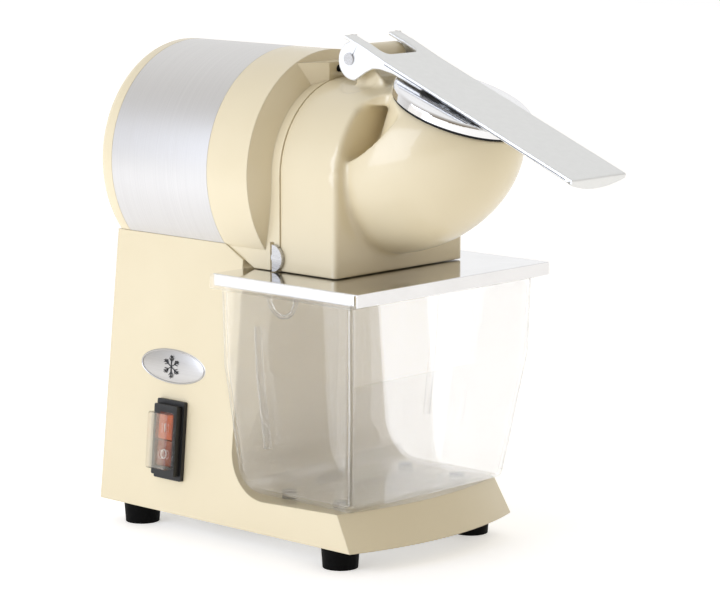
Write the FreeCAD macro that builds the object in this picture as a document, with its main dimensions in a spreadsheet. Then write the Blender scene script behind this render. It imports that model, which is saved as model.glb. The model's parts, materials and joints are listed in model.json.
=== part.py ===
"""Counter-top ice shaver: a motor barrel on a cast pedestal, a swing-open cutter head with an
ice bowl, a lever with its lid, and a clear bin that slides out from under the head.

Frame: X to the right, Y to the back, Z up, origin on the table at the middle of the footprint.
Units are millimetres.
"""
import FreeCAD, Part
import math
import os
import re

import Sketcher
from FreeCAD import Placement, Rotation, Vector

# Driving dimensions: alias and value. Every feature below is bound to these cells.
SIZES = {
    # pedestal and foot plate
    "foot_tall": 20, "foot_top_radius": 17.5, "foot_low_radius": 16, "foot_side": 88.4,
    "foot_front_y": -38.9, "foot_rear_y": 219,
    "base_half": 109.2, "base_top_half": 86, "base_rear_y": 255, "base_rear_top_y": 250,
    "base_top_z": 276, "base_wall": 6, "bay_y": 83, "bay_round": 42, "plate_z": 49,
    "toe_z": 54, "toe_y": -90, "toe_radius": 307, "toe_lean": 0.56,
    # motor barrel
    "axis_z": 342, "barrel_radius": 108.3, "band_front_y": 107.7, "band_rear_y": 234,
    "rear_end_y": 252, "rear_round": 9, "sheet": 1.2, "seam": 0.3,
    # fixed half of the cutter chamber
    "shoulder_y": 56.6, "arch_y": 48.6, "arch_radius": 84.9, "parting_y": 38.6,
    "floor_z": 257.3, "seam_low_y": 71, "seam_high_y": 107, "chamber_radius": 74,
    "chamber_back_y": 66, "motor_face_y": 74, "boss_half": 44, "boss_nose": 20,
    "boss_side_y": 56.6, "boss_rear_y": 80, "boss_top_z": 440.5, "outlet_half": 48, "outlet_front_y": 48,
    # head that swings open
    "head_rear_y": 38.1, "head_front_y": -30.4, "head_round": 5, "bowl_y": -51.9,
    "bowl_z": 355.3, "bowl_side": 75, "bowl_long": 112, "bowl_rise": 27, "bowl_wall": 5,
    "scoop_radius": 92, "mouth_y": -100.4, "mouth_z": 404.5, "mouth_radius": 61,
    "mouth_tilt": 21, "collar_deep": 110, "chute_radius": 69, "lug_half": 26, "lug_radius": 13.2,
    "roof_half": 58, "roof_nose": 34, "roof_front_y": -54.4,
    # hinge of the head, catch
    "hinge_x": 93, "hinge_y": 38.35, "knuckle_radius": 7.5, "knuckle_low_z": 285,
    "knuckle_tall": 15, "head_knuckle_low_z": 300.4, "head_knuckle_tall": 29.2,
    "hinge_pin_radius": 3, "running_gap": 0.05,
    "catch_y": 45, "catch_z": 269.2, "catch_radius": 12.2, "catch_thick": 3.5, "catch_shaft": 4,
    # lever and lid
    "pivot_y": -1.4, "pivot_z": 447, "lever_slope": 22.2, "lever_half": 36.5, "lever_long": 267,
    "lever_top": 16.2, "lever_skin": 2.4, "flange_low": 11.4, "ear_radius": 17.5,
    "lever_pin_radius": 4, "lid_radius": 63.8, "lid_top": 11.9, "lid_skin": 1.6, "seal_tall": 3.2,
    "seal_gap": 0.3,
    # bin and its cover
    "bin_half": 123, "bin_front_y": -84.5, "bin_rear_y": 78, "bin_low_z": 54.3,
    "bin_kink_z": 172, "bin_rim_z": 246, "bin_wall": 3, "bin_foot_half": 104,
    "bin_foot_front_y": -66, "bin_foot_rear_y": 73, "bin_round": 6.8, "bin_edge": 6, "bin_heel": 34,
    "rim_half": 134, "rim_front_y": -94, "rim_thick": 2.6, "rim_top_z": 256.4, "cover_half": 128.6,
    "cover_front_y": -97, "cover_top_z": 256.5, "cover_sheet": 1.5, "cover_lip": 12,
    # cutter and drive
    "disc_radius": 71, "disc_front_y": 41, "disc_thick": 6, "shaft_radius": 7.5,
    "bearing_radius": 17.5, "bearing_long": 11, "tube_radius": 84, "stator_hole": 45.4,
    "rotor_radius": 44.8, "core_front_y": 122, "core_long": 66, "shield_y": 216,
    "tie_radius": 97,
    # switch on the left wall
    "switch_y": 162, "switch_z": 88.6, "switch_wide": 36, "switch_tall": 74,
}

ALIAS = re.compile(r"[a-z][a-z_]*[a-z]")
PARTS = {}

doc = FreeCAD.newDocument("IceShaver")
sheet = doc.addObject("Spreadsheet::Sheet", "Sizes")
for row, (alias, size) in enumerate(SIZES.items(), start=1):
    sheet.set(f"A{row}", alias)
    sheet.set(f"B{row}", str(size))
    sheet.setAlias(f"B{row}", alias)
doc.recompute()


def cell(text):
    """An expression in which each alias is written as a reference to its cell."""
    return ALIAS.sub(lambda m: "Sizes." + m.group() if m.group() in SIZES else m.group(), str(text))


def value(text):
    """The number that an expression gives."""
    return float(sheet.evalExpression(cell(text)))


# ---------------------------------------------------------------- placing and primitives

ALONG = {
    "X": Rotation(Vector(0, 1, 0), 90),
    "Y": Rotation(Vector(1, 0, 0), -90),
    "Z": Rotation(),
}


def place(item, at, turn=Rotation()):
    """Put an item at a point given by three expressions."""
    item.Placement = Placement(Vector(), turn)
    for letter, text in zip("xyz", at):
        item.setExpression(f"Placement.Base.{letter}", cell(text))
    return item


def primitive(kind, at, turn, **sizes):
    """A Part primitive whose sizes are expressions."""
    item = doc.addObject(kind, kind.split("::")[1])
    for key, text in sizes.items():
        item.setExpression(key, cell(text))
    return place(item, at, turn)


def rod(axis, radius, length, at):
    """A cylinder that starts at a point and runs along an axis."""
    return primitive("Part::Cylinder", at, ALONG[axis], Radius=radius, Height=length)


def cone(axis, radius, end_radius, length, at):
    return primitive("Part::Cone", at, ALONG[axis], Radius1=radius, Radius2=end_radius, Height=length)


def block(low, high):
    """A box between two corners given as expressions."""
    spans = [f"({b}) - ({a})" for a, b in zip(low, high)]
    return primitive("Part::Box", low, Rotation(), Length=spans[0], Width=spans[1], Height=spans[2])


def fuse(*items):
    item = doc.addObject("Part::MultiFuse", "Fusion")
    item.Shapes = list(items)
    return item


def cut(base, *tools):
    item = doc.addObject("Part::Cut", "Cut")
    item.Base = base
    item.Tool = tools[0] if len(tools) == 1 else fuse(*tools)
    return item


def common(one, other):
    item = doc.addObject("Part::Common", "Common")
    item.Base = one
    item.Tool = other
    return item


def group(*items):
    """Several separate solids in one sub-part."""
    item = doc.addObject("Part::Compound", "Group")
    item.Links = list(items)
    return item


def wrap(item, at, turn):
    """Carry an item, modelled about the origin, to its place in the machine."""
    return place(group(item), at, turn)


def ring(axis, radius, hole, length, at):
    return cut(rod(axis, radius, length, at), rod(axis, hole, length, at))


def part(name, item):
    """Register an object as a sub-part; its Label names its file."""
    item.Label = name
    PARTS[name] = item
    return item


# ---------------------------------------------------------------- sketched bodies

def outline(sketch, corners):
    """A closed outline. A corner is (u, v), or (u, v, centre_u, centre_v, turn) where an arc
    leaves it about that centre: turn is 1 for anticlockwise and -1 for clockwise."""
    spots = [Vector(value(c[0]), value(c[1]), 0) for c in corners]
    ends = []
    for i, corner in enumerate(corners):
        start, stop = spots[i], spots[(i + 1) % len(spots)]
        if len(corner) == 2:
            sketch.addGeometry(Part.LineSegment(start, stop), False)
            ends.append((1, 2))
            continue
        middle = Vector(value(corner[2]), value(corner[3]), 0)
        first, last = (start, stop) if corner[4] > 0 else (stop, start)
        angles = [math.atan2(p.y - middle.y, p.x - middle.x) for p in (first, last)]
        circle = Part.Circle(middle, Vector(0, 0, 1), first.distanceToPoint(middle))
        sketch.addGeometry(Part.ArcOfCircle(circle, *angles), False)
        ends.append((1, 2) if corner[4] > 0 else (2, 1))
    for i, (_, stop_end) in enumerate(ends):
        after = (i + 1) % len(ends)
        sketch.addConstraint(Sketcher.Constraint("Coincident", i, stop_end, after, ends[after][0]))
    for i, corner in enumerate(corners):
        pin_point(sketch, i, ends[i][0], corner[0], corner[1])
        if len(corner) > 2:
            chord = spots[(i + 1) % len(spots)] - spots[i]
            upright = abs(chord.y) > abs(chord.x)
            kind, text = ("DistanceX", corner[2]) if upright else ("DistanceY", corner[3])
            pin_distance(sketch, kind, i, 3, text)


def pin_distance(sketch, kind, geometry, point, text):
    """Bind one coordinate of a sketch point to an expression."""
    number = sketch.addConstraint(Sketcher.Constraint(kind, -1, 1, geometry, point, value(text)))
    sketch.setExpression(f"Constraints[{number}]", cell(text))


def pin_point(sketch, geometry, point, u, v):
    pin_distance(sketch, "DistanceX", geometry, point, u)
    pin_distance(sketch, "DistanceY", geometry, point, v)


def new_sketch(body, plane, corners, shift=("0", "0", "0")):
    """A sketch on one of the body's own origin planes, moved by an attachment offset."""
    sketch = body.newObject("Sketcher::SketchObject", "Sketch")
    support = [o for o in body.Origin.OriginFeatures if o.Role == plane + "_Plane"][0]
    sketch.AttachmentSupport = (support, [""])
    sketch.MapMode = "FlatFace"
    for letter, text in zip("xyz", shift):
        sketch.setExpression(f"AttachmentOffset.Base.{letter}", cell(text))
    outline(sketch, corners)
    return sketch


def prism(plane, corners, length, shift="0", symmetric=False):
    """A body padded from one outline. XY pads up, YZ pads to +X, XZ pads to -Y."""
    body = doc.addObject("PartDesign::Body", "Body")
    pad = body.newObject("PartDesign::Pad", "Pad")
    pad.Profile = new_sketch(body, plane, corners, ("0", "0", shift))
    pad.SideType = "Symmetric" if symmetric else "One side"
    pad.setExpression("Length", cell(length))
    body.Tip = pad
    return body


def lathe(axis, corners, centre="0"):
    """A body turned from an outline of (along, radius) corners, about Y at height centre,
    or about Z through the origin."""
    body = doc.addObject("PartDesign::Body", "Body")
    turn = body.newObject("PartDesign::Revolution", "Revolution")
    if axis == "Y":
        turn.Profile = new_sketch(body, "YZ", corners, ("0", centre, "0"))
        turn.ReferenceAxis = (turn.Profile[0], ["H_Axis"])
    else:
        swapped = [(c[1], c[0]) if len(c) == 2 else (c[1], c[0], c[3], c[2], -c[4]) for c in corners]
        turn.Profile = new_sketch(body, "XZ", swapped)
        turn.ReferenceAxis = (turn.Profile[0], ["V_Axis"])
    turn.Angle = 360
    body.Tip = turn
    return body


def rounded_rectangle(low_u, high_u, low_v, high_v, radius):
    """Corners of a rectangle with four round corners, anticlockwise."""
    in_low_u, in_high_u = f"({low_u}) + ({radius})", f"({high_u}) - ({radius})"
    in_low_v, in_high_v = f"({low_v}) + ({radius})", f"({high_v}) - ({radius})"
    return [
        (in_low_u, low_v), (in_high_u, low_v, in_high_u, in_low_v, 1),
        (high_u, in_low_v), (high_u, in_high_v, in_high_u, in_high_v, 1),
        (in_high_u, high_v), (in_low_u, high_v, in_low_u, in_high_v, 1),
        (low_u, in_high_v), (low_u, in_low_v, in_low_u, in_low_v, 1),
    ]


def fillet_body(body, picks, radius):
    """Round the edges of a body's last feature that a test picks by their middle points."""
    doc.recompute()
    plain = body.Tip
    names = [f"Edge{i}" for i, edge in enumerate(plain.Shape.Edges, start=1)
             if picks(edge.valueAt((edge.FirstParameter + edge.LastParameter) / 2))]
    rounding = body.newObject("PartDesign::Fillet", "Fillet")
    rounding.Base = (plain, names)
    rounding.setExpression("Radius", cell(radius))
    body.Tip = rounding
    return body


def polar(radius, angle):
    """A point round the motor's axis as (x, z) expressions; angle 0 is to the right."""
    return f"({radius}) * cos({angle})", f"axis_z + ({radius}) * sin({angle})"


# ---------------------------------------------------------------- pedestal

TIES = [polar("tie_radius", angle) for angle in (35, 145, 195, 345)]
COVER_SCREWS = [polar("89", angle) for angle in (40, 140, 207, 333)]
FLANGE_SCREWS = [(x, "98") for x in ("-76", "76")]
FEET = [(side, y) for side in ("-foot_side", "foot_side") for y in ("foot_front_y", "foot_rear_y")]


def pedestal_block(inset):
    """The pedestal's outline as a solid, drawn in by a wall thickness; inset 0 is the outside."""
    open_top = inset != "0"
    low_z = f"foot_tall - 2 * ({inset})"
    bay = f"bay_y + ({inset})"
    centre_y = "bay_y - bay_round"
    centre_z = "plate_z + bay_round"
    if open_top:
        top = [("base_rear_top_y - base_wall", "base_top_z + 20"), ("seam_high_y + 4", "base_top_z + 20"),
               ("seam_high_y + 4", "base_top_z - 14"), (bay, "base_top_z - 26")]
    else:
        top = [("base_rear_top_y", "base_top_z"), ("seam_high_y", "base_top_z"),
               (bay, "base_top_z - 12.5")]
    side = [(f"base_rear_y - ({inset})", low_z)] + top + [
        (bay, centre_z, centre_y, centre_z, -1),
        (centre_y, f"plate_z - ({inset})"),
        ("toe_y - 5", f"toe_z - ({inset})"),
        ("toe_y - 5", low_z),
    ]
    slab = prism("YZ", side, "2 * base_half", symmetric=True)
    half_low = f"base_half - ({inset})"
    lean = "(base_half - base_top_half) / (base_top_z - foot_tall)"
    front_view = [
        (f"-({half_low}) - 20 * {lean}", "foot_tall - 20"), (f"{half_low} + 20 * {lean}", "foot_tall - 20"),
        (f"base_top_half - ({inset}) - 40 * {lean}", "base_top_z + 40"),
        (f"-base_top_half + ({inset}) + 40 * {lean}", "base_top_z + 40"),
    ]
    tapered = common(slab, prism("XZ", front_view, "4 * base_rear_y", symmetric=True))
    toe = cut(block(("-150", "toe_y - 20", "-10"), ("150", "-20", "70")),
              cone("Z", f"toe_radius - ({inset}) + 30 * toe_lean", f"toe_radius - ({inset}) - 70 * toe_lean",
                   "100", ("0", "toe_y + toe_radius", "foot_tall - 30")))
    return cut(tapered, toe)


def make_pedestal():
    shell = cut(pedestal_block("0"), pedestal_block("base_wall"))
    bosses = [rod("Z", "9", "toe_z - foot_tall - 9", (x, y, "foot_tall + 2")) for x, y in FEET]
    for side in ("-1", "1"):
        ends = sorted((f"{side} * foot_side", f"{side} * (base_half - 4)"), key=value)
        bosses += [block((ends[0], f"{y} - 3", "foot_tall + 2"), (ends[1], f"{y} + 3", "foot_tall + 24"))
                   for y in ("foot_front_y", "foot_rear_y")]
    holes = [rod("Z", "2.5", "18", (x, y, "foot_tall + 1")) for x, y in FEET]
    gland_hole = rod("Y", "8", "20", ("58", "base_rear_y - 14", "58"))
    opening = switch_frame(block(("-14", "-31.5", "-12"), ("14", "31.5", "4")))
    barrel_room = rod("Y", "tube_radius + 2", "152", ("0", "92", "axis_z"))
    holes += [rod("Z", "2.9", "40", (x, y, "245")) for x, y in FLANGE_SCREWS]
    holes += [rod("Z", "5.4", "14.5", (x, y, "240")) for x, y in FLANGE_SCREWS]
    part("base_casting", cut(fuse(shell, *bosses), gland_hole, opening, barrel_room, *holes))
    screws = [fuse(rod("Z", "5", "4", (x, y, "250.5")), rod("Z", "2.4", "34", (x, y, "254")))
              for x, y in FLANGE_SCREWS]
    part("flange_screws", group(*screws))

    inner = common(pedestal_block("base_wall + 0.3"), block(("-120", "-100", "foot_tall"),
                                                            ("120", "base_rear_y", "foot_tall + 2")))
    vents = [block((x, "90 + 11 * %d" % i, "10"), (f"{x} + 50", "95 + 11 * %d" % i, "30"))
             for i in range(8) for x in ("-62", "12")]
    screw_holes = [rod("Z", "2.8", "6", (x, y, "foot_tall - 2")) for x, y in FEET]
    part("bottom_cover", cut(inner, *vents, *screw_holes))


def make_feet():
    feet = []
    screws = []
    for x, y in FEET:
        rubber = cone("Z", "foot_low_radius", "foot_top_radius", "foot_tall", (x, y, "0"))
        feet.append(cut(rubber, rod("Z", "6.2", "10", (x, y, "0")), rod("Z", "2.8", "foot_tall", (x, y, "0"))))
        head = rod("Z", "5", "4", (x, y, "6"))
        shank = rod("Z", "2.4", "26", (x, y, "9"))
        screws.append(cut(fuse(head, shank), rod("Z", "2", "2.5", (x, y, "5"))))
    part("rubber_feet", group(*feet))
    part("foot_screws", group(*screws))
    pads = [rod("Z", "7", "4.6", (x, y, z)) for x in ("-78", "78")
            for y, z in (("-30", "49.4"), ("34", "49.4"))]
    part("bin_pads", group(*[cut(pad, pedestal_block("0")) for pad in pads]))


# ---------------------------------------------------------------- motor barrel

def below_seam():
    """Everything under the joint between the barrel castings and the pedestal."""
    return prism("YZ", [
        ("head_front_y - 40", "floor_z - 90"), ("base_rear_y + 20", "floor_z - 90"),
        ("base_rear_y + 20", "base_top_z + seam"), ("seam_high_y", "base_top_z + seam"),
        ("seam_low_y", "floor_z"), ("head_front_y - 40", "floor_z"),
    ], "320", symmetric=True)


def arch(low_y, high_y):
    """Round-topped block with flat sides, between two planes across the machine's axis."""
    corners = [
        ("-arch_radius", "floor_z"), ("arch_radius", "floor_z"),
        ("arch_radius", "axis_z", "0", "axis_z", 1), ("-arch_radius", "axis_z"),
    ]
    return prism("XZ", corners, f"({high_y}) - ({low_y})", shift=f"-({high_y})")


def knuckle(low_z, tall, web_low_y, web_high_y):
    """One knuckle of the head's hinge with its web to the casting's side."""
    barrel = rod("Z", "knuckle_radius", tall, ("hinge_x", "hinge_y", low_z))
    web = block(("arch_radius - 4", web_low_y, low_z), ("hinge_x", web_high_y, f"{low_z} + {tall}"))
    return [barrel, web]


def make_front_casting():
    barrel = rod("Y", "barrel_radius", "band_front_y - shoulder_y", ("0", "shoulder_y", "axis_z"))
    shoulder = cone("Y", "arch_radius", "barrel_radius", "shoulder_y - arch_y", ("0", "arch_y", "axis_z"))
    boss = prism("XY", [
        ("-boss_half", "boss_rear_y"), ("-boss_half", "boss_side_y"), ("-boss_nose", "parting_y"),
        ("boss_nose", "parting_y"), ("boss_half", "boss_side_y"), ("boss_half", "boss_rear_y"),
    ], "boss_top_z - 408", shift="408")
    upper_knuckle_z = "head_knuckle_low_z + head_knuckle_tall + 0.4"
    knuckles = knuckle("knuckle_low_z", "knuckle_tall", "parting_y", "arch_y + 1")
    knuckles += knuckle(upper_knuckle_z, "knuckle_tall", "parting_y", "arch_y + 1")
    solid = cut(fuse(barrel, shoulder, arch("parting_y", "band_front_y"), boss, *knuckles), below_seam())
    hollow = [
        rod("Y", "chamber_radius", "chamber_back_y - parting_y + 1", ("0", "parting_y - 1", "axis_z")),
        ring("Y", "80", "26", "92 - motor_face_y", ("0", "motor_face_y", "axis_z")),
        rod("Y", "tube_radius + 0.2", "20", ("0", "91", "axis_z")),
        rod("Y", "bearing_radius", "20", ("0", "92 - bearing_long", "axis_z")),
        rod("Y", "shaft_radius + 1.5", "40", ("0", "60", "axis_z")),
        rod("Y", "13", "5", ("0", "chamber_back_y", "axis_z")),
        block(("-outlet_half", "outlet_front_y", "floor_z - 5"), ("outlet_half", "chamber_back_y", "300")),
        rod("X", "catch_shaft + running_gap", "22", ("-arch_radius", "catch_y", "catch_z")),
        block(("-arch_radius - 1", "catch_y + 0.6", "floor_z - 1"),
              ("-arch_radius + 4", "catch_y + 5.4", "catch_z + catch_radius + 1.5")),
        rod("Z", "hinge_pin_radius + running_gap", "80", ("hinge_x", "hinge_y", "knuckle_low_z - 5")),
    ]
    hollow += [rod("Y", "2.5", "18", (x, "92", z)) for x, z in TIES]
    hollow += [rod("Z", "2.5", "30", (x, y, "262")) for x, y in FLANGE_SCREWS]
    part("front_casting", cut(solid, *hollow))


def make_barrel_covers():
    band = ring("Y", "barrel_radius", "barrel_radius - sheet", "band_rear_y - band_front_y - 0.4",
                ("0", "band_front_y + 0.2", "axis_z"))
    part("motor_band", cut(band, below_seam()))

    dish = lathe("Y", [
        ("band_rear_y", "barrel_radius - 4"), ("band_rear_y", "barrel_radius"),
        ("rear_end_y - rear_round", "barrel_radius", "rear_end_y - rear_round",
         "barrel_radius - rear_round", -1),
        ("rear_end_y", "barrel_radius - rear_round"), ("rear_end_y", "0"), ("rear_end_y - 4", "0"),
        ("rear_end_y - 4", "barrel_radius - rear_round - 2"),
        ("rear_end_y - rear_round", "barrel_radius - 4"),
    ], "axis_z")
    slots = [block((x, "rear_end_y - 10", f"axis_z - 40 + 12 * {i}"),
                   (f"{x} + 54", "rear_end_y + 5", f"axis_z - 35 + 12 * {i}"))
             for i in range(8) for x in ("-60", "6")]
    holes = [rod("Y", "2.2", "12", (x, "rear_end_y - 10", z)) for x, z in COVER_SCREWS]
    part("rear_cover", cut(dish, below_seam(), *slots, *holes))
    screws = [fuse(rod("Y", "4", "2", (x, "rear_end_y", z)), rod("Y", "2", "24", (x, "rear_end_y - 24", z)))
              for x, z in COVER_SCREWS]
    part("rear_cover_screws", group(*screws))


# ---------------------------------------------------------------- motor and drive

def make_motor():
    part("motor_tube", ring("Y", "tube_radius", "tube_radius - 3", "shield_y - 96", ("0", "96", "axis_z")))
    part("stator_core", ring("Y", "tube_radius - 3", "stator_hole", "core_long", ("0", "core_front_y", "axis_z")))
    ends = [ring("Y", "70", "50", "14", ("0", y, "axis_z"))
            for y in ("core_front_y - 14", "core_front_y + core_long")]
    part("stator_windings", group(*ends))

    shield = rod("Y", "102", "5", ("0", "shield_y", "axis_z"))
    hub = rod("Y", "24", "11", ("0", "shield_y - 6", "axis_z"))
    seat = rod("Y", "bearing_radius", "14", ("0", "shield_y - 7", "axis_z"))
    pillars = [rod("Y", "5", "rear_end_y - 4 - shield_y", (x, "shield_y", z)) for x, z in COVER_SCREWS]
    tie_holes = [rod("Y", "3.2", "10", (x, "shield_y - 2", z)) for x, z in TIES]
    pilots = [rod("Y", "2.1", "30", (x, "shield_y + 8", z)) for x, z in COVER_SCREWS]
    vents = [rod("Y", "12", "10", (x, "shield_y - 2", z))
             for x, z in (polar("56", 22.5 + 45 * i) for i in range(8))]
    part("rear_shield", cut(fuse(shield, hub, *pillars), seat, *tie_holes, *pilots, *vents))
    bolts = [fuse(rod("Y", "5.5", "4", (x, "shield_y + 5", z)),
                  rod("Y", "2.5", "shield_y - 93", (x, "98", z))) for x, z in TIES]
    part("tie_bolts", group(*bolts))

    front_at = ("0", "92 - bearing_long", "axis_z")
    rear_at = ("0", "shield_y - 6", "axis_z")
    part("front_bearing", ring("Y", "bearing_radius", "shaft_radius + running_gap", "bearing_long", front_at))
    part("rear_bearing", ring("Y", "bearing_radius", "shaft_radius + running_gap", "bearing_long", rear_at))
    part("disc_spacer", ring("Y", "12", "shaft_radius", "18", ("0", "disc_front_y + disc_thick", "axis_z")))
    part("shaft_seal", ring("Y", "13", "shaft_radius + running_gap", "5", ("0", "chamber_back_y", "axis_z")))


def make_drive():
    shaft = lathe("Y", [
        ("disc_front_y - 10", "0"), ("disc_front_y - 10", "5"), ("disc_front_y", "5"),
        ("disc_front_y", "shaft_radius"), ("shield_y + 28", "shaft_radius"), ("shield_y + 28", "0"),
    ], "axis_z")
    part("motor_shaft", shaft)
    part("rotor_core", ring("Y", "rotor_radius", "shaft_radius", "core_long", ("0", "core_front_y", "axis_z")))

    hub = ring("Y", "14", "shaft_radius", "14", ("0", "shield_y + 10", "axis_z"))
    plate = ring("Y", "74", "13", "2", ("0", "shield_y + 10", "axis_z"))
    blades = []
    for i in range(9):
        vane = block(("-1", "shield_y + 12", "13"), ("1", "shield_y + 22", "71"))
        blades.append(radial(vane, 40 * i))
    part("cooling_fan", fuse(hub, plate, *blades))


def radial(item, angle):
    """Turn an item modelled above the shaft, at z = 0 on the axis, round the shaft."""
    return wrap(item, ("0", "0", "axis_z"), Rotation(Vector(0, 1, 0), angle))


def make_cutter():
    angles = (0, 120, 240)
    disc = ring("Y", "disc_radius", "shaft_radius", "disc_thick", ("0", "disc_front_y", "axis_z"))
    slots = [radial(block(("-9", "disc_front_y - 2", "19"), ("1", "disc_front_y + 12", "67")), a)
             for a in angles]
    seats = [radial(block(("1", "disc_front_y - 2", "19"), ("17", "disc_front_y + 1.2", "67")), a)
             for a in angles]
    part("cutter_disc", cut(disc, *slots, *seats))

    knives = []
    screws = []
    for angle in angles:
        knife = prism("XZ", rounded_rectangle("-1.5", "16.6", "19.4", "66.6", "1"), "2",
                      shift="-(disc_front_y + 1.2)")
        holes = [rod("Y", "2.1", "6", ("10.5", "disc_front_y - 3", z)) for z in ("31", "55")]
        knives.append(radial(cut(knife, *holes), angle))
        for z in ("31", "55"):
            head = rod("Y", "3.4", "1", ("10.5", "disc_front_y - 1.8", z))
            stem = rod("Y", "2", "2", ("10.5", "disc_front_y - 0.8", z))
            screws.append(radial(fuse(head, stem), angle))
    part("cutter_blades", group(*knives))
    part("blade_screws", group(*screws))

    flats = [(f"12 * cos({a})", f"12 * sin({a})") for a in range(0, 360, 60)]
    nut = prism("XZ", flats, "8", shift="-disc_front_y")
    place(nut, ("0", "0", "axis_z"))
    part("disc_nut", cut(nut, rod("Y", "5", "12", ("0", "disc_front_y - 10", "axis_z"))))


# ---------------------------------------------------------------- head

TILT = Rotation(Vector(1, 0, 0), SIZES["mouth_tilt"])
SLOPE = Rotation(Vector(1, 0, 0), SIZES["lever_slope"])
RISE = Rotation(Vector(1, 0, 0), -SIZES["bowl_rise"])


def at_mouth(item):
    """Carry an item modelled at the origin onto the bowl's tilted mouth plane."""
    return wrap(item, ("0", "mouth_y", "mouth_z"), TILT)


def at_pivot(item):
    """Carry an item modelled level about the lever's pivot to the lever's resting slope."""
    return wrap(item, ("0", "pivot_y", "pivot_z"), SLOPE)


def bowl_body(inset):
    """The bowl drawn in by a wall: an egg scooped out round the lever's pivot, joined by the
    straight collar that runs down from the mouth inside the egg."""
    radius = f"bowl_side - ({inset})"
    eggs = [primitive("Part::Ellipsoid", ("0", "bowl_y", "bowl_z"), RISE,
                      Radius1=radius, Radius2=radius, Radius3=f"bowl_long - ({inset})") for _ in range(2)]
    scoop = rod("X", f"scoop_radius + ({inset})", "240", ("-120", "pivot_y", "pivot_z"))
    collar = at_mouth(rod("Z", f"mouth_radius - ({inset})", "collar_deep + 20", ("0", "0", "-collar_deep")))
    return fuse(cut(eggs[0], scoop), common(eggs[1], collar))


def make_head():
    front = fillet_body(arch("head_front_y", "head_rear_y"),
                        lambda p: abs(p.y - SIZES["head_front_y"]) < 0.1 and p.z > SIZES["floor_z"] + 1,
                        "head_round")
    above_mouth = at_mouth(block(("-130", "-130", "0"), ("130", "78", "90")))
    roof = common(prism("XY", [
        ("-roof_half", "head_front_y", "-roof_half", "roof_front_y", -1), ("-roof_nose", "roof_front_y"),
        ("roof_nose", "roof_front_y", "roof_half", "roof_front_y", -1), ("roof_half", "head_front_y"),
        ("roof_half", "-21"), ("-roof_half", "-21"),
    ], "30", shift="408"), rod("Y", "arch_radius - 0.4", "70", ("0", "-80", "axis_z")))
    bowl = cut(fuse(bowl_body("0"), roof), above_mouth,
               block(("-120", "-20", "200"), ("120", "120", "460")))
    lug_web = prism("YZ", [
        ("pivot_y - lug_radius", "pivot_z"), ("-34", "427"), ("-34", "415"), ("-20", "405"),
        ("pivot_y + 2", "405"), ("pivot_y + 2", "pivot_z"),
    ], "2 * lug_half", symmetric=True)
    lug = rod("X", "lug_radius", "2 * lug_half", ("-lug_half", "pivot_y", "pivot_z"))
    hinge = knuckle("head_knuckle_low_z", "head_knuckle_tall", "hinge_y - 9", "head_rear_y")
    solid = fuse(front, bowl, lug_web, lug, *hinge)
    hollow = [
        bowl_body("bowl_wall"),
        rod("Y", "chute_radius", "head_rear_y - head_front_y - 5", ("0", "head_front_y + 6", "axis_z")),
        rod("X", "lever_pin_radius + running_gap", "100", ("-50", "pivot_y", "pivot_z")),
        rod("Z", "hinge_pin_radius + running_gap", "80", ("hinge_x", "hinge_y", "knuckle_low_z - 5")),
        ring("Y", "79.6", "76", "4", ("0", "head_rear_y - 2", "axis_z")),
    ]
    part("head_casting", cut(solid, *hollow))
    part("chamber_seal", ring("Y", "79.5", "76.1", "2.2", ("0", "head_rear_y - 2", "axis_z")))
    part("hinge_pin", fuse(
        rod("Z", "hinge_pin_radius", "64", ("hinge_x", "hinge_y", "knuckle_low_z - 2")),
        rod("Z", "5", "2", ("hinge_x", "hinge_y", "knuckle_low_z - 2.4")),
        rod("Z", "5", "2", ("hinge_x", "hinge_y", "knuckle_low_z + 60.6"))))


def make_catch():
    plate = rod("X", "catch_radius", "catch_thick", ("-arch_radius - 0.3 - catch_thick", "catch_y", "catch_z"))
    behind = block(("-120", "catch_y", "catch_z - 20"), ("-arch_radius", "catch_y + 20", "catch_z + 20"))
    shaft = rod("X", "catch_shaft", "20", ("-arch_radius - 1", "catch_y", "catch_z"))
    part("catch_half_disc", fuse(cut(plate, behind), shaft))


# ---------------------------------------------------------------- lever and lid

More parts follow.
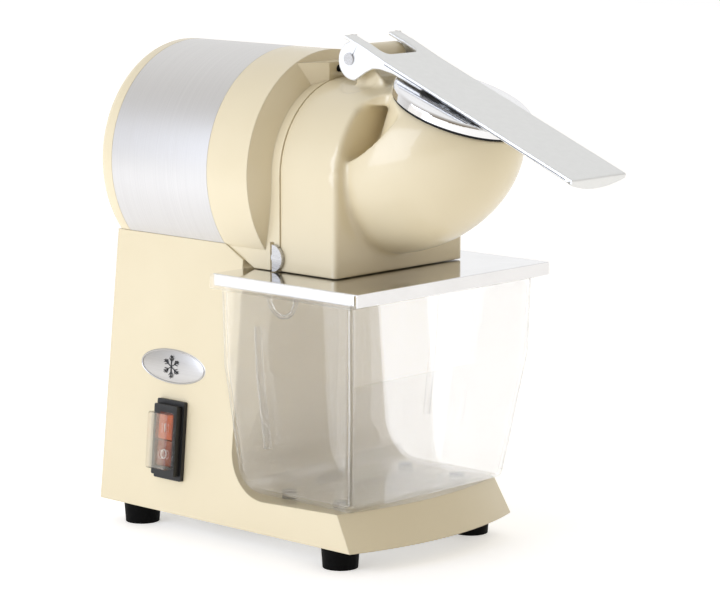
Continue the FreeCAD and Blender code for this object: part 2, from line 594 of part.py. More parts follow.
def make_lever():
    side = [
        ("-4 - ear_radius * sin(30)", "-ear_radius * cos(30)", "-4", "0", 1), ("-4", "ear_radius"),
        ("-40", "lever_top"), ("-lever_long", "lever_top"), ("-lever_long - 3", "flange_low"),
        ("-89", "flange_low + 1"), ("-87", "flange_low - 0.8"), ("-52", "flange_low - 1.6"),
        ("-36", "6.8"), ("-28", "3.4"), ("-22", "-3"),
    ]
    cheeks = prism("YZ", side, "2 * lever_half", symmetric=True)
    inside = block(("3 - lever_half", "-lever_long + 3", "-40"), ("lever_half - 3", "40", "lever_top - lever_skin"))
    open_end = prism("XY", [
        ("-22", "30"), ("-22", "-20", "-15", "-20", 1), ("-15", "-27"), ("15", "-27", "15", "-20", 1),
        ("22", "-20"), ("22", "30"),
    ], "60", shift="-20")
    pin_hole = rod("X", "lever_pin_radius", "100", ("-50", "0", "0"))
    shell = cut(cheeks, inside, open_end, pin_hole)
    tab = prism("XZ", [
        ("-lever_half", "flange_low"), ("-lever_half", "lever_top"), ("lever_half", "lever_top"),
        ("lever_half", "flange_low", "0", "flange_low + 96", -1),
    ], "3", shift="lever_long")
    tails = []
    for x in ("-lever_half", "22"):
        tails.append(block((x, "-6", "lever_top - lever_skin"), (f"{x} + lever_half - 22", "12.4", "lever_top + 1")))
        tails.append(rod("X", "lever_skin / 2 + 0.5", "lever_half - 22",
                         (x, "12.4", "lever_top - lever_skin / 2 + 0.5")))
    part("lever", at_pivot(fuse(shell, tab, *tails)))

    pin = fuse(rod("X", "lever_pin_radius", "2 * lever_half + 3", ("-lever_half - 1.5", "0", "0")),
               rod("X", "5.4", "1.6", ("-lever_half - 1.6", "0", "0")),
               rod("X", "5.4", "1.6", ("lever_half", "0", "0")))
    part("lever_pin", at_pivot(pin))


def make_lid():
    pan = lathe("Z", [
        ("seal_tall", "lid_radius - lid_skin"), ("seal_tall", "lid_radius"),
        ("lid_top - 3", "lid_radius", "lid_top - 3", "lid_radius - 3", -1),
        ("lid_top", "lid_radius - 3"), ("lid_top", "0"), ("lid_top - lid_skin", "0"),
        ("lid_top - lid_skin", "lid_radius - lid_skin"),
    ])
    rivet_spots = [(x, y) for x in ("-17", "17") for y in ("-25", "25")]
    part("lid", at_mouth(cut(pan, *[rod("Z", "2.1", "8", (x, y, "lid_top - 4")) for x, y in rivet_spots])))
    seal = lathe("Z", [
        ("seal_gap", "mouth_radius - 4.6"), ("seal_gap", "mouth_radius + 0.6"),
        ("lid_top - lid_skin", "mouth_radius + 0.6"), ("lid_top - lid_skin", "mouth_radius - 1"),
        ("seal_tall", "mouth_radius - 1"), ("seal_tall", "mouth_radius - 4.6"),
    ])
    part("lid_seal", at_mouth(seal))
    disc = rod("Z", "48", "5", ("0", "0", "-10"))
    stem = rod("Z", "11", "lid_top - lid_skin + 6", ("0", "0", "-6"))
    ribs = [block(("-44", f"{i} * 14 - 2", "-14"), ("44", f"{i} * 14 + 2", "-9")) for i in (-1, 0, 1)]
    part("presser_plate", at_mouth(fuse(disc, stem, *ribs)))
    bracket = block(("-24", "-34", "lid_top"), ("24", "34", "lid_top + 2"))
    spine = block(("-24", "-6", "lid_top"), ("24", "6", "lid_top + 3.3"))
    holes = [rod("Z", "2.1", "8", (x, y, "lid_top - 2")) for x, y in rivet_spots]
    part("lid_bracket", at_mouth(cut(fuse(bracket, spine), *holes)))
    rivets = [fuse(rod("Z", "4", "1", (x, y, "lid_top + 2")), rod("Z", "2", "3.6", (x, y, "lid_top - 1.6")))
              for x, y in rivet_spots]
    part("lid_rivets", at_mouth(group(*rivets)))


def make_bumper():
    stems = [rod("Y", "3.2", "parting_y - 9", (x, "9", "434.5")) for x in ("-7.6", "7.6")]
    part("rest_bumpers", group(*stems))


# ---------------------------------------------------------------- bin

def loft(levels):
    """A straight-sided loft through rounded rectangles given as (z, half, low_y, high_y, radius)."""
    sections = []
    for z, half, low_y, high_y, radius in levels:
        sketch = doc.addObject("Sketcher::SketchObject", "Section")
        outline(sketch, rounded_rectangle(f"-({half})", half, low_y, high_y, radius))
        sections.append(place(sketch, ("0", "0", z)))
    item = doc.addObject("Part::Loft", "Loft")
    item.Sections = sections
    item.Solid = True
    item.Ruled = True
    return item


def bin_shape(inset, low_z, high_z):
    return loft([
        (low_z, f"bin_foot_half - ({inset})", f"bin_foot_front_y + ({inset})", f"bin_foot_rear_y - ({inset})",
         f"bin_round - ({inset})"),
        ("bin_kink_z", f"bin_half - 2 - ({inset})", f"bin_front_y + 1.5 + ({inset})",
         f"bin_rear_y - 0.5 - ({inset})", f"bin_round - ({inset})"),
        (high_z, f"bin_half - ({inset})", f"bin_front_y + ({inset})", f"bin_rear_y - ({inset})",
         f"bin_round - ({inset})"),
    ])


def fillet_low_edges(item, radius):
    """Round the edges that lie in an item's lowest plane."""
    doc.recompute()
    low_z = item.Shape.BoundBox.ZMin
    rounding = doc.addObject("Part::Fillet", "Rounded")
    rounding.Base = item
    rounding.Edges = [(i, radius, radius) for i, edge in enumerate(item.Shape.Edges, start=1)
                      if edge.BoundBox.ZMax < low_z + 0.01]
    return rounding


def bin_heel(inset):
    """A side view with the big round heel that follows the pedestal's bay."""
    centre_y = "bin_foot_rear_y + 1 - bin_heel"
    centre_z = "bin_low_z + bin_heel"
    rear_y = f"bin_foot_rear_y + 1 - ({inset})"
    return prism("YZ", [
        (centre_y, f"bin_low_z + ({inset})", centre_y, centre_z, 1), (rear_y, centre_z),
        ("bin_rear_y + 6", centre_z), ("bin_rear_y + 6", "bin_rim_z + 10"),
        ("bin_front_y - 10", "bin_rim_z + 10"), ("bin_front_y - 10", f"bin_low_z + ({inset})"),
    ], "2 * bin_half + 20", symmetric=True)


def make_bin():
    outer = fillet_low_edges(bin_shape("0", "bin_low_z", "bin_rim_z"), SIZES["bin_edge"])
    inner = fillet_low_edges(bin_shape("bin_wall", "bin_low_z + bin_wall", "bin_rim_z + 6"),
                             SIZES["bin_edge"] - SIZES["bin_wall"])
    outer = common(outer, bin_heel("0"))
    inner = common(inner, bin_heel("bin_wall"))
    flange = block(("-rim_half", "rim_front_y", "bin_rim_z - rim_thick"), ("rim_half", "bin_rear_y", "bin_rim_z"))
    rails = [block((x, "rim_front_y", "bin_rim_z - rim_thick"), (f"{x} + rim_thick", "bin_rear_y", "rim_top_z"))
             for x in ("-rim_half", "rim_half - rim_thick")]
    part("ice_bin", cut(fuse(outer, flange, *rails), inner))

    edge = "cover_top_z - cover_sheet"
    top = block(("-cover_half", "cover_front_y", edge), ("cover_half", "bin_rear_y + 1.5", "cover_top_z"))
    lip = block(("-cover_half", "cover_front_y", "cover_top_z - cover_lip"),
                ("cover_half", "cover_front_y + cover_sheet", "cover_top_z"))
    sides = [block((x, "cover_front_y + 4", "bin_rim_z"), (f"{x} + cover_sheet", "bin_rear_y", "cover_top_z"))
             for x in ("-cover_half", "cover_half - cover_sheet")]
    mouth = block(("-outlet_half - 3", "outlet_front_y - 4", "240"),
                  ("outlet_half + 3", "chamber_back_y + 4", "270"))
    part("bin_cover", cut(fuse(top, lip, *sides), mouth))


# ---------------------------------------------------------------- switch, badge and wiring

def wall_rotation():
    """Turns local X to the front, local Y up the leaning left wall and local Z out of it."""
    run = SIZES["base_half"] - SIZES["base_top_half"]
    rise = SIZES["base_top_z"] - SIZES["foot_tall"]
    up = Vector(run, 0, rise).normalize()
    out = Vector(-up.z, 0, up.x)
    return Rotation(Vector(0, -1, 0), up, out, "ZXY")


def on_wall(item, y, z):
    """Place an item modelled flat at the origin onto the left wall."""
    lean = "(base_half - base_top_half) / (base_top_z - foot_tall)"
    return wrap(item, (f"-base_half + ({z} - foot_tall) * {lean}", y, z), wall_rotation())


def switch_frame(item):
    return on_wall(item, "switch_y", "switch_z")


def centred(wide, tall, radius, length, shift="0"):
    """A slab with round corners centred on the local Z axis."""
    return prism("XY", rounded_rectangle(f"-({wide}) / 2", f"({wide}) / 2", f"-({tall}) / 2", f"({tall}) / 2",
                                         radius), length, shift=shift)


def make_switch():
    flange = centred("switch_wide", "switch_tall", "1.5", "4")
    frame = centred("switch_wide - 6", "switch_tall - 8", "1.5", "7", "3.5")
    inner = centred("26", "61", "1", "22", "-22")
    window = centred("21", "49", "1", "18", "-6")
    part("switch_housing", switch_frame(cut(fuse(flange, frame, inner), window)))
    for name, y in (("start_button", "12.4"), ("stop_button", "-12.4")):
        key = centred("20.2", "23.6", "1", "10", "-2")
        place(key, ("0", y, "0"))
        part(name, switch_frame(key))
    cover = cut(centred("26", "53", "3", "9.5", "10.5"), centred("24", "51", "2", "8.5", "10.5"))
    part("switch_cover", switch_frame(cover))

    egg = primitive("Part::Ellipsoid", ("0", "0", "-2"), Rotation(), Radius1="4.4", Radius2="48", Radius3="18")
    part("badge_plate", on_wall(common(egg, block(("-50", "-20", "0"), ("50", "20", "6"))), "166", "156.2"))


def make_wiring():
    gland = lathe("Y", [
        ("base_rear_y - 12", "4.5"), ("base_rear_y - 12", "7.9"), ("base_rear_y + 0.2", "7.9"),
        ("base_rear_y + 0.2", "11"), ("base_rear_y + 3.7", "10"), ("base_rear_y + 3.7", "4.5"),
    ], "58")
    place(gland, ("58", "-0.7", "0"))
    part("cable_gland", gland)
    part("terminal_block", cut(block(("-30", "228", "110"), ("30", "246.8", "132")),
                               *[rod("Z", "2.4", "30", (f"-22 + 11 * {i}", "238", "120")) for i in range(5)]))
    part("run_capacitor", rod("Z", "19", "78", ("30", "150", "24")))
    part("capacitor_clip", fuse(ring("Z", "20.6", "19", "14", ("30", "150", "60")),
                                block(("50", "143", "60"), ("99", "157", "62"))))


def check_and_write():
    """Refuse a failed object or a bad shape, then write each sub-part's file."""
    doc.recompute()
    for item in doc.Objects:
        if "Invalid" in item.State or "Error" in item.State:
            raise RuntimeError(f"{item.Name} ({item.Label}) failed: {item.State}")
    os.makedirs("parts", exist_ok=True)
    for name, item in PARTS.items():
        if item.Shape.isNull() or not item.Shape.isValid() or item.Shape.Volume < 1:
            raise RuntimeError(f"{name} has no valid shape")
        item.Shape.exportStep(f"parts/{name}.step")


for make in (make_pedestal, make_feet, make_front_casting, make_barrel_covers, make_motor, make_drive,
             make_cutter, make_head, make_catch, make_lever, make_lid, make_bumper, make_bin, make_switch,
             make_wiring):
    make()
check_and_write()
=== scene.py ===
"""Looks of the counter-top ice shaver: materials, rounded castings, fittings, light and camera,
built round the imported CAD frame. Everything is in metres in the CAD's own frame."""

import json
import math

import bmesh
import bpy
from mathutils import Matrix, Vector
from mathutils.kdtree import KDTree


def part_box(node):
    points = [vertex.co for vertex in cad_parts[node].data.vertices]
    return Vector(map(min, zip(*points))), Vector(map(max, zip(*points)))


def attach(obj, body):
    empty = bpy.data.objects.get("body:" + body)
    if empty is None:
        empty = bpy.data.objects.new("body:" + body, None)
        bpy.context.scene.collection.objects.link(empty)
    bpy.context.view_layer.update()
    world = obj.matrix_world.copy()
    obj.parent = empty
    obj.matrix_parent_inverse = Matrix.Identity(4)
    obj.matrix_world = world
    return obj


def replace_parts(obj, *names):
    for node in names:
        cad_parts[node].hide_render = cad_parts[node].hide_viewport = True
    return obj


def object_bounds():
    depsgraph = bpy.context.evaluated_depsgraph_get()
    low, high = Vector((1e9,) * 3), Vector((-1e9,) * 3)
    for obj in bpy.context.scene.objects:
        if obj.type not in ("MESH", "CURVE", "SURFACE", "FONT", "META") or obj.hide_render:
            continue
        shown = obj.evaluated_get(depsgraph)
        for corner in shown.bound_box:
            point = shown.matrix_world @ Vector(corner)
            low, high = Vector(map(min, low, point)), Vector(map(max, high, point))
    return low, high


MM = 0.001

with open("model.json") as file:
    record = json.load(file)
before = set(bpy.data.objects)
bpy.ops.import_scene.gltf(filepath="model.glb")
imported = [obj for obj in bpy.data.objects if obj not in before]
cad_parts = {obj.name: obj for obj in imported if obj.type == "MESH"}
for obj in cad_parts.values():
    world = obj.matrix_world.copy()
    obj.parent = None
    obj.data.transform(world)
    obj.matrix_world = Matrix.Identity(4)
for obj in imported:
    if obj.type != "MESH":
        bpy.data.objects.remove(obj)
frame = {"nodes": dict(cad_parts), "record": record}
NODES = frame["nodes"]
CAD_LOW, CAD_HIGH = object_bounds()
SLOT_OF = {part["node"]: part["material_slot"] for part in frame["record"]["subparts"]}


# ---------------------------------------------------------------- shader building

class Shader:
    """A principled material and short calls that add nodes to it."""

    def __init__(self, name, **settings):
        self.material = bpy.data.materials.new(name)
        self.material.use_nodes = True
        self.tree = self.material.node_tree
        self.surface = self.tree.nodes["Principled BSDF"]
        for key, value in settings.items():
            self.surface.inputs[key.replace("_", " ")].default_value = value

    def add(self, kind, inputs=None, **attributes):
        node = self.tree.nodes.new("ShaderNode" + kind)
        for key, value in attributes.items():
            setattr(node, key, value)
        for key, value in (inputs or {}).items():
            if isinstance(value, bpy.types.NodeSocket):
                self.tree.links.new(value, node.inputs[key])
            else:
                node.inputs[key].default_value = value
        return node

    def set(self, key, socket):
        self.tree.links.new(socket, self.surface.inputs[key])

    def place(self, stretch=(1, 1, 1)):
        """Object coordinates in metres, multiplied by a stretch."""
        point = self.add("TexCoord").outputs["Object"]
        return self.add("Mapping", {"Vector": point, "Scale": stretch}).outputs["Vector"]

    def noise(self, scale, detail=3.0, stretch=(1, 1, 1), rough=0.5):
        return self.add("TexNoise", {"Vector": self.place(stretch), "Scale": scale, "Detail": detail,
                                     "Roughness": rough}).outputs["Fac"]

    def ramp(self, factor, stops):
        """A colour ramp given as (position, grey or colour) stops."""
        node = self.add("ValToRGB", {"Fac": factor})
        elements = node.color_ramp.elements
        while len(elements) < len(stops):
            elements.new(0.5)
        for element, (position, tone) in zip(elements, stops):
            element.position = position
            colour = (tone, tone, tone) if isinstance(tone, (int, float)) else tone
            element.color = (*colour, 1)
        return node.outputs["Color"]

    def vary_colour(self, factor, colour, other):
        self.set("Base Color", self.ramp(factor, [(0.3, colour), (0.7, other)]))

    def vary_roughness(self, factor, low, high):
        self.set("Roughness", self.ramp(factor, [(0.25, low), (0.75, high)]))

    def bump(self, height, distance, strength=1.0, edge=0.0):
        """Surface relief; an edge radius also softens the sharp edges' shading."""
        inputs = {"Height": height, "Distance": distance, "Strength": strength}
        if edge:
            inputs["Normal"] = self.add("Bevel", {"Radius": edge}, samples=4).outputs["Normal"]
        self.set("Normal", self.add("Bump", inputs).outputs["Normal"])


def enamel():
    """Glossy cream enamel over cast metal: faint tone changes, a fine skin of orange peel."""
    look = Shader("enamel", Coat_Weight=0.5, Coat_Roughness=0.08, Coat_IOR=1.5)
    look.vary_colour(look.noise(9, 4), (0.77, 0.672, 0.46), (0.745, 0.645, 0.433))
    look.vary_roughness(look.noise(60, 3), 0.30, 0.42)
    look.bump(look.noise(420, 2), 0.00004, 0.5, 0.0016)
    return look.material


def brushed(name, colour, other, stretch, low=0.26, high=0.40):
    """Sheet metal with fine lines across the stretched direction."""
    look = Shader(name, Metallic=1.0)
    lines = look.noise(1, 6, stretch, 0.7)
    look.vary_colour(lines, colour, other)
    look.vary_roughness(lines, low, high)
    look.bump(lines, 0.00002, 0.35)
    return look.material


def polished(name, colour, low=0.04, high=0.12, spots=45):
    """Polished metal with faint wipe marks."""
    look = Shader(name, Metallic=1.0)
    look.vary_colour(look.noise(spots, 5), colour, tuple(0.94 * c for c in colour))
    look.vary_roughness(look.noise(spots, 4, (1, 0.3, 1)), low, high)
    look.bump(look.noise(spots * 2, 2), 0.00008, 0.12)
    return look.material


def cast_metal(name, colour, low=0.3, high=0.5, shade=0.86, metallic=1.0):
    """Satin cast or machined metal with a soft grain."""
    look = Shader(name, Metallic=metallic)
    look.vary_colour(look.noise(160, 6), colour, tuple(shade * c for c in colour))
    look.vary_roughness(look.noise(220, 5), low, high)
    look.bump(look.noise(900, 3), 0.000004, 0.3, 0.0008)
    return look.material


def turned(name, colour):
    """Machined steel with fine turning rings about the motor's axis."""
    look = Shader(name, Metallic=1.0)
    rings = look.noise(1, 5, (900, 60, 900), 0.6)
    look.vary_colour(rings, colour, tuple(0.85 * c for c in colour))
    look.vary_roughness(rings, 0.18, 0.34)
    return look.material


def rubber(name, tone=0.002):
    look = Shader(name, Specular_IOR_Level=0.06)
    look.vary_colour(look.noise(220, 4), (tone,) * 3, (1.8 * tone,) * 3)
    look.vary_roughness(look.noise(300, 3), 0.5, 0.7)
    look.bump(look.noise(1500, 2), 0.00006, 0.4)
    return look.material


def plastic(name, colour, low=0.35, high=0.5, grain=0.00004):
    look = Shader(name)
    look.vary_colour(look.noise(120, 3), colour, tuple(0.9 * c for c in colour))
    look.vary_roughness(look.noise(260, 3), low, high)
    look.bump(look.noise(2200, 2), grain, 0.4)
    return look.material


def clear_plastic(name, tint, roughness=0.04, alpha=0.55):
    """Clear moulded plastic with faint flow marks."""
    look = Shader(name, Transmission_Weight=1.0, IOR=1.3, Coat_Weight=0.6, Coat_Roughness=0.03)
    facing = look.add("LayerWeight", {"Blend": 0.5}).outputs["Facing"]
    look.set("Alpha", look.ramp(facing, [(0.55, alpha), (0.97, min(1.0, 2.4 * alpha))]))
    look.vary_colour(look.noise(8, 3), tint, tuple(0.985 * c for c in tint))
    look.vary_roughness(look.noise(14, 4), roughness, roughness + 0.03)
    look.bump(look.noise(9, 2, (1, 1, 0.4)), 0.0003, 0.05)
    return look.material


def lit_key(name, colour, glow):
    """A translucent switch key lit from behind."""
    look = Shader(name, Emission_Strength=glow)
    patches = look.noise(120, 3)
    look.vary_colour(patches, colour, tuple(0.75 * c for c in colour))
    look.set("Emission Color", look.ramp(patches, [(0.25, colour), (0.75, tuple(0.4 * c for c in colour))]))
    look.vary_roughness(patches, 0.15, 0.3)
    return look.material


MATERIALS = {
    "cream": enamel(),
    "brushed_sheet": brushed("brushed_sheet", (0.72, 0.71, 0.70), (0.64, 0.63, 0.62), (4, 2600, 4),
                             0.3, 0.46),
    "polished_sheet": polished("polished_sheet", (0.83, 0.83, 0.84)),
    "satin_lever": cast_metal("satin_lever", (0.82, 0.83, 0.825), 0.30, 0.40, 0.97, 0.55),
    "polished_lid": polished("polished_lid", (0.88, 0.88, 0.89)),
    "stainless": turned("stainless", (0.62, 0.62, 0.63)),
    "blade_steel": brushed("blade_steel", (0.72, 0.73, 0.74), (0.60, 0.61, 0.62), (900, 40, 40), 0.12, 0.25),
    "zinc": cast_metal("zinc", (0.60, 0.60, 0.58), 0.3, 0.45),
    "motor_steel": cast_metal("motor_steel", (0.22, 0.22, 0.24), 0.4, 0.6),
    "copper": cast_metal("copper", (0.72, 0.34, 0.18), 0.25, 0.4),
    "cast_alloy": cast_metal("cast_alloy", (0.58, 0.58, 0.58), 0.4, 0.6),
    "galvanised": cast_metal("galvanised", (0.56, 0.57, 0.58), 0.35, 0.5),
    "black_rubber": rubber("black_rubber"),
    "seal_rubber": rubber("seal_rubber", 0.012),
    "clear_plastic": clear_plastic("clear_plastic", (0.985, 0.985, 0.995), 0.01, 0.30),
    "clear_cover": clear_plastic("clear_cover", (0.93, 0.92, 0.89), 0.03, 0.36),
    "black_plastic": plastic("black_plastic", (0.009, 0.009, 0.009)),
    "orange_key": lit_key("orange_key", (0.42, 0.07, 0.012), 0.30),
    "red_key": lit_key("red_key", (0.22, 0.04, 0.012), 0.15),
    "white_plastic": plastic("white_plastic", (0.78, 0.78, 0.75)),
    "badge_metal": brushed("badge_metal", (0.60, 0.585, 0.56), (0.50, 0.485, 0.465), (4, 4, 3000)),
}


def dress_nodes():
    """Give every CAD node its slot's material."""
    for name, node in NODES.items():
        material = MATERIALS[SLOT_OF[name]]
        for index in range(max(1, len(node.data.materials))):
            if index < len(node.data.materials):
                node.data.materials[index] = material
            else:
                node.data.materials.append(material)


# ---------------------------------------------------------------- pieces

def add_piece(name, mesh, material_slot, body, angle=30):
    """A finished piece, smooth shaded up to an angle in degrees, that rides on a body."""
    mesh.materials.clear()
    mesh.materials.append(MATERIALS[material_slot])
    piece = bpy.data.objects.new(name, mesh)
    bpy.context.scene.collection.objects.link(piece)
    mesh.shade_smooth()
    mesh.set_sharp_from_angle(angle=math.radians(angle))
    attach(piece, body)
    return piece


def applied(name, mesh, *modifiers):
    """The mesh after some modifiers, each given as (kind, settings)."""
    holder = bpy.data.objects.new(name, mesh)
    bpy.context.scene.collection.objects.link(holder)
    for kind, settings in modifiers:
        modifier = holder.modifiers.new(kind.lower(), kind)
        for key, value in settings.items():
            setattr(modifier, key, value)
    bpy.context.view_layer.update()
    done = bpy.data.meshes.new_from_object(holder.evaluated_get(bpy.context.evaluated_depsgraph_get()))
    bpy.data.objects.remove(holder)
    return done


def tube(points, radius, sides=10, closed=False):
    """A round bar along points, as a mesh."""
    curve = bpy.data.curves.new("bar", "CURVE")
    curve.dimensions = "3D"
    line = curve.splines.new("NURBS")
    line.points.add(len(points) - 1)
    for spot, point in zip(line.points, points):
        spot.co = (*point, 1)
    line.order_u = 3
    line.use_endpoint_u = not closed
    line.use_cyclic_u = closed
    curve.resolution_u = 6
    curve.bevel_depth = radius
    curve.bevel_resolution = sides // 4
    curve.use_fill_caps = True
    holder = bpy.data.objects.new("bar", curve)
    bpy.context.scene.collection.objects.link(holder)
    bpy.context.view_layer.update()
    mesh = bpy.data.meshes.new_from_object(holder.evaluated_get(bpy.context.evaluated_depsgraph_get()))
    bpy.data.objects.remove(holder)
    return mesh


# the head's skin, in metres: inner corners become fillets in front of the parting side or beside
# the lug, and stay as they are at the hinge and near the lever's pin; the last three say where the
# skin is set back for the lever, and by how much
PIN_LOW, PIN_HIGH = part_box("lever_pin")
PIVOT = (PIN_LOW + PIN_HIGH) / 2
HINGE_X = 0.07
PARTING_SIDE_Y = -0.024
LUG_Z = 0.41
LUG_HALF = 0.042
PIN_KEEP = 0.024
SKIN_VOXEL = 0.0014
FILLET_REACHES = (0.0035, 0.0055)
FILLET_ROUNDS = 14
SHARPEST_FLAT = 0.3
CORNER_STEP = 0.002
SWEPT_RADIUS = 0.03
SWEPT_HALF = 0.045
SWEPT_RELIEF = 0.0005


def pivot_gap(point):
    """Distance from the lever pin's axis."""
    return math.hypot(point.y - PIVOT.y, point.z - PIVOT.z)


def soft_zone(edges):
    """Points along the casting's inner corners round the bowl and the lug, away from its bores."""
    points = []
    for edge in edges:
        if len(edge.link_faces) != 2 or edge.is_convex or edge.calc_face_angle(0) < SHARPEST_FLAT:
            continue
        start, end = (v.co for v in edge.verts)
        steps = max(1, int((end - start).length / CORNER_STEP))
        points += [start.lerp(end, i / steps) for i in range(steps + 1)]
    return [p for p in points if p.x < HINGE_X and pivot_gap(p) > PIN_KEEP
            and (p.y < PARTING_SIDE_Y or p.z > LUG_Z and abs(p.x) > LUG_HALF)]


def head_skin():
    """The head casting as one poured skin: remeshed, its inner corners relaxed into fillets, and
    set back a little where the lever sweeps past."""
    shape = bmesh.new()
    shape.from_mesh(NODES["head_casting"].data)
    bmesh.ops.remove_doubles(shape, verts=shape.verts, dist=0.00001)
    corners = soft_zone(shape.edges)
    plain = bpy.data.meshes.new("head_plain")
    shape.to_mesh(plain)
    shape.free()
    mesh = applied("head_skin", plain, ("REMESH", {"mode": "VOXEL", "voxel_size": SKIN_VOXEL}))
    tree = KDTree(len(corners))
    for index, point in enumerate(corners):
        tree.insert(point, index)
    tree.balance()
    shape = bmesh.new()
    shape.from_mesh(mesh)
    axes = {"use_axis_x": True, "use_axis_y": True, "use_axis_z": True}
    for reach in FILLET_REACHES:
        near = [v for v in shape.verts if tree.find(v.co)[2] < reach]
        for _ in range(FILLET_ROUNDS):
            bmesh.ops.smooth_vert(shape, verts=near, factor=0.5, **axes)
    for _ in range(2):
        bmesh.ops.smooth_vert(shape, verts=shape.verts, factor=0.5, **axes)
    shape.normal_update()
    swept = [v for v in shape.verts if pivot_gap(v.co) < SWEPT_RADIUS and abs(v.co.x) < SWEPT_HALF]
    for v in swept:
        v.co -= SWEPT_RELIEF * v.normal
    shape.to_mesh(mesh)
    shape.free()
    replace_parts(add_piece("head_skin", mesh, "cream", "head", 180), "head_casting")


# the left wall leans in by this much over its height (mm)
WALL_IN, WALL_TALL = 23.2, 256


def wall_place(node, lift):
    """The place of a flat fitting on the leaning left wall: X to the front, Y up the wall."""
    low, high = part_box(node)
    lean = math.atan2(WALL_IN, WALL_TALL)
    up = Vector((math.sin(lean), 0, math.cos(lean)))
    out = Vector((-math.cos(lean), 0, math.sin(lean)))
    centre = Vector((low.x, (low.y + high.y) / 2, (low.z + high.z) / 2))
    turn = Matrix((Vector((0, -1, 0)), up, out)).transposed().to_4x4()
    return Matrix.Translation(centre + lift * out) @ turn


def joined(name, meshes):
    """One mesh out of several."""
    shape = bmesh.new()
    for mesh in meshes:
        shape.from_mesh(mesh)
    whole = bpy.data.meshes.new(name)
    shape.to_mesh(whole)
    shape.free()
    return whole


# one arm of the snowflake as bars from point to point (mm); the badge and its bars' sizes (m)
ARM = (((0, 0), (0, 11)), ((0, 5), (2.6, 8)), ((0, 5), (-2.6, 8)), ((0, 8), (1.7, 10)), ((0, 8), (-1.7, 10)))
ARMS = 6
BADGE_THICK = 0.0024
BORDER_POINTS = 40
BORDER_BAR = 0.0007
FLAKE_BAR = 0.00038


def badge():
    """A raised border and a plain snowflake on the blank oval plate."""
    low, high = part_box("badge_plate")
    wide, tall = (high.y - low.y) / 2, (high.z - low.z) / 2
    place = wall_place("badge_plate", 0)
    border = tube([Vector((0.965 * wide * math.cos(a), 0.95 * tall * math.sin(a), 0))
                   for a in (math.tau * i / BORDER_POINTS for i in range(BORDER_POINTS))],
                  BORDER_BAR, closed=True)
    border.transform(Matrix.Translation((0, 0, -BADGE_THICK + 0.0003)))
    border.transform(place)
    add_piece("badge_border", border, "badge_metal", "root")
    bars = []
    for arm in range(ARMS):
        turn = Matrix.Rotation(math.tau * arm / ARMS, 3, "Z")
        for start, end in ARM:
            ends = [turn @ Vector((*p, 0)) * MM for p in (start, end)]
            bars.append(tube([ends[0], ends[0].lerp(ends[1], 0.5), ends[1]], FLAKE_BAR, 8))
    flake = joined("badge_snowflake", bars)
    flake.transform(Matrix.Translation((0, 0, 0.0001)))
    flake.transform(place)
    add_piece("badge_snowflake", flake, "black_plastic", "root")


def key_marks():
    """The raised I on the start key and O on the stop key."""
    ring = [Vector((3.4 * MM * math.cos(a), 4.1 * MM * math.sin(a), 0))
            for a in (math.tau * i / 16 for i in range(16))]
    line = [Vector((0, y * MM, 0)) for y in (-4, 0, 4)]
    for node, points, closed in (("start_button", line, False), ("stop_button", ring, True)):
        mark = tube(points, 0.00055, 8, closed)
        mark.transform(wall_place(node, 0.0009))
        add_piece(node.replace("button", "mark"), mark, "white_plastic", node)


# lines on the bin's walls (mm): a front corner from the floor to the rim, just inside the wall;
# the grip under the rim as (y, z); and the rib up a side wall as (x, z)
CORNER = ((-101.5, -63.5, 62), (-105, -67, 84), (-110.5, -72.5, 115), (-116, -78, 147), (-119, -80.6, 168),
          (-120, -81.4, 190), (-120.5, -81.9, 216), (-121, -82.4, 243))
GRIP = ((14, 243.6), (12, 236), (7, 229), (-4, 225), (-14, 229), (-18.5, 237), (-20.5, 243.6))
RIB = ((106.5, 100), (109.8, 124), (113.2, 148), (116.2, 171), (117.6, 190), (118.4, 212))
GRIP_X, RIB_Y = 0.1243, 33
GRIP_BAR, CORNER_BAR, RIB_BAR = 0.0021, 0.0022, 0.0034


def side_name(side):
    return "left" if side < 0 else "right"


def bin_details():
    """The grips under the bin's rim, its corner beads and the ribs moulded into its side walls."""
    for side in (-1, 1):
        grip = tube([Vector((side * GRIP_X, y * MM, z * MM)) for y, z in GRIP], GRIP_BAR, 12)
        add_piece("bin_grip_" + side_name(side), grip, "clear_plastic", "bin")
        bead = tube([Vector((-side * x * MM, y * MM, z * MM)) for x, y, z in CORNER], CORNER_BAR, 12)
        add_piece("bin_corner_" + side_name(side), bead, "clear_plastic", "bin")
        rib = tube([Vector((side * x * MM, RIB_Y * MM, z * MM)) for x, z in RIB], RIB_BAR, 16)
        add_piece("bin_rib_" + side_name(side), rib, "clear_plastic", "bin")


# the lever's slope at rest (degrees) and, in the lever's own frame (mm), a painted shadow: a dark bar along
# each side wall where there is only the top plate's shade
LEVER_SLOPE = 22.2
SHADOW_LINE_X, SHADOW_LINE_Z = 36.35, 13.4
SHADOW_LINE_Y = (-40, -150, -262)
SHADOW_LINE_BAR = 0.00045


def lever_shadow_line():
    """A painted shadow: a dark bar on each side wall just under the lever's top plate, where there is only
    shade.
    """
    place = Matrix.Translation((0, PIVOT.y, PIVOT.z)) @ Matrix.Rotation(math.radians(LEVER_SLOPE), 4, "X")
    for side in (-1, 1):
        # each dark bar is painted shade, standing in for the shadow under the top plate's edge
        shadow_bar = tube([Vector((side * SHADOW_LINE_X, y, SHADOW_LINE_Z)) * MM for y in SHADOW_LINE_Y], SHADOW_LINE_BAR, 8)
        shadow_bar.transform(place)
        add_piece("lever_shadow_line_" + side_name(side), shadow_bar, "motor_steel", "lever")


def soften(node, width, segments):
    """Round a CAD part's sharp edges with modifiers; its own mesh stays as it is."""
    part = NODES[node]
    weld = part.modifiers.new("weld", "WELD")
    weld.merge_threshold = 0.00001
    bevel = part.modifiers.new("bevel", "BEVEL")
    bevel.width = width
    bevel.segments = segments
    bevel.limit_method = "ANGLE"
    bevel.angle_limit = math.radians(40)
    bevel.use_clamp_overlap = False
    bevel.harden_normals = True


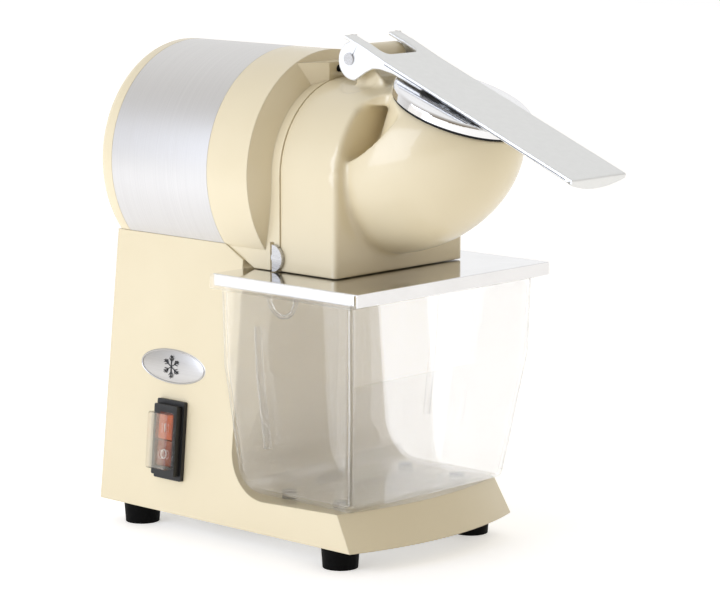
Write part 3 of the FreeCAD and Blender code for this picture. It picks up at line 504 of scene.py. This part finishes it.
def make_pieces():
    head_skin()
    badge()
    key_marks()
    bin_details()
    lever_shadow_line()
    soften("lever", 0.0014, 3)
    soften("bin_cover", 0.0006, 2)


# ---------------------------------------------------------------- studio

CENTRE = Vector(((CAD_LOW.x + CAD_HIGH.x) / 2, (CAD_LOW.y + CAD_HIGH.y) / 2, 0))


def aim(thing, target):
    thing.rotation_mode = "QUATERNION"
    thing.rotation_quaternion = (target - thing.location).to_track_quat("-Z", "Y")


def make_camera():
    """Seen from the front left, a little above the middle, from about five lengths away."""
    azimuth, elevation, distance = math.radians(-46.97), math.radians(9.48), 2.7458
    data = bpy.data.cameras.new("camera")
    data.lens = 150.4
    data.sensor_width = 36
    data.clip_end = 50
    camera = bpy.data.objects.new("camera", data)
    bpy.context.scene.collection.objects.link(camera)
    target = CENTRE + Vector((0, 0.0195, 0.2233))
    back = Vector((math.sin(azimuth) * math.cos(elevation), -math.cos(azimuth) * math.cos(elevation),
                   math.sin(elevation)))
    camera.location = target + distance * back
    aim(camera, target)
    bpy.context.scene.camera = camera


def area_light(name, at, size, power, tint=(1, 1, 1), target=Vector((0, 0, 0.25))):
    data = bpy.data.lights.new(name, "AREA")
    data.color = tint
    data.shape = "RECTANGLE"
    data.size, data.size_y = size
    data.energy = power
    data.specular_factor = 0.28
    light = bpy.data.objects.new(name, data)
    light.location = at
    bpy.context.scene.collection.objects.link(light)
    aim(light, target)


def make_world():
    """A white studio, darker and warmer on the side that the machine's front faces."""
    world = bpy.data.worlds.new("studio")
    world.use_nodes = True
    tree = world.node_tree
    background = tree.nodes["Background"]
    point = tree.nodes.new("ShaderNodeTexCoord")
    facing = tree.nodes.new("ShaderNodeVectorMath")
    facing.operation = "DOT_PRODUCT"
    facing.inputs[1].default_value = Vector((0.77, 0.62, 0.15)).normalized()
    spread = tree.nodes.new("ShaderNodeMapRange")
    spread.inputs["From Min"].default_value = -1
    spread.inputs["From Max"].default_value = 0.7
    tones = tree.nodes.new("ShaderNodeValToRGB")
    tones.color_ramp.elements[0].color = (0.235, 0.19, 0.135, 1)
    tones.color_ramp.elements[1].color = (1.0, 1.0, 1.0, 1)
    tree.links.new(point.outputs["Generated"], facing.inputs[0])
    tree.links.new(facing.outputs["Value"], spread.inputs["Value"])
    tree.links.new(spread.outputs["Result"], tones.inputs["Fac"])
    tree.links.new(tones.outputs["Color"], background.inputs["Color"])
    bpy.context.scene.world = world
    bpy.context.scene.view_settings.view_transform = "Standard"


def make_studio():
    make_world()
    area_light("key", (-1.75, 0.55, 0.75), (1.2, 1.2), 17, (0.90, 0.99, 1.19))
    mesh = bpy.data.meshes.new("floor")
    reach = 6
    mesh.from_pydata([(-reach, -reach, 0), (reach, -reach, 0), (reach, reach, 0), (-reach, reach, 0)], [],
                     [(0, 1, 2, 3)])
    floor = bpy.data.objects.new("floor", mesh)
    bpy.context.scene.collection.objects.link(floor)
    look = Shader("floor_paint", Roughness=0.7, Emission_Strength=0.42, Emission_Color=(1.0, 0.97, 0.92, 1))
    look.vary_colour(look.noise(2, 2), (0.90, 0.90, 0.90), (0.88, 0.88, 0.88))
    mesh.materials.append(look.material)


make_camera()
dress_nodes()
make_pieces()
make_studio()
